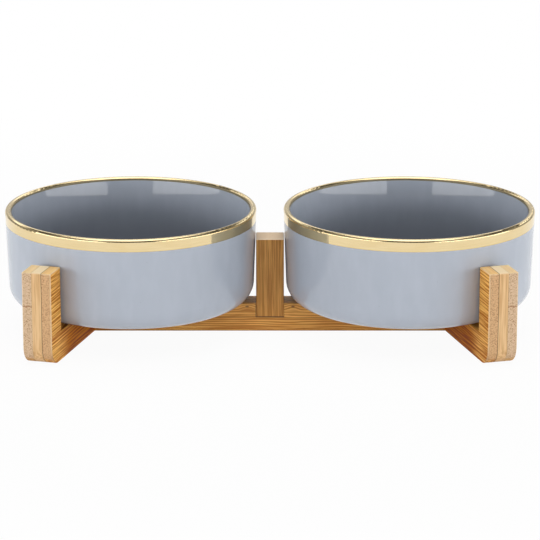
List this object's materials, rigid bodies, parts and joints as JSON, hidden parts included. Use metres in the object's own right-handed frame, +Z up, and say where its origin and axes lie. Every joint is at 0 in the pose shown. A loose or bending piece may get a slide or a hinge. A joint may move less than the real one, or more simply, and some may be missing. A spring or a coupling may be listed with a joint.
{
  "type": "double pet bowl",
  "caption": "Round glazed bowls with gold lips, held side by side in a low bamboo stand with a centre post and splayed L-shaped legs; each bowl lifts out for washing.",
  "frame": {"origin": "on the floor under the middle of the stand, below the centre post", "axes": "+X from the left bowl to the right bowl along the bar, -Y to the front, +Z up"},
  "size_m": [0.3266, 0.1658, 0.0775],
  "materials": {
    "glaze": "gloss glaze",
    "gold_lustre": "fired gold lustre",
    "bar_bamboo": "satin bamboo",
    "post_bamboo": "satin bamboo",
    "dowel_wood": "plain",
    "ply_bamboo": "satin bamboo",
    "core_bamboo": "satin bamboo"
  },
  "bodies": {
    "stand": {"centre_bar": "bar_bamboo", "centre_post": "post_bamboo", "arm_dowels": "dowel_wood", "front_left_leg_outer_ply": "ply_bamboo", "front_left_leg_core": "core_bamboo", "front_left_leg_inner_ply": "ply_bamboo", "front_right_leg_outer_ply": "ply_bamboo", "front_right_leg_core": "core_bamboo", "front_right_leg_inner_ply": "ply_bamboo", "rear_left_leg_outer_ply": "ply_bamboo", "rear_left_leg_core": "core_bamboo", "rear_left_leg_inner_ply": "ply_bamboo", "rear_right_leg_outer_ply": "ply_bamboo", "rear_right_leg_core": "core_bamboo", "rear_right_leg_inner_ply": "ply_bamboo"},
    "left_bowl": {"left_bowl": "glaze", "left_rim_band": "gold_lustre"},
    "right_bowl": {"right_bowl": "glaze", "right_rim_band": "gold_lustre"}
  },
  "joints": [
    {"name": "left_bowl_lift", "type": "slide", "parent": "stand", "child": "left_bowl", "axis": [0, 0, 1], "range_m": [0, 0.1]},
    {"name": "right_bowl_lift", "type": "slide", "parent": "stand", "child": "right_bowl", "axis": [0, 0, 1], "range_m": [0, 0.1]}
  ]
}
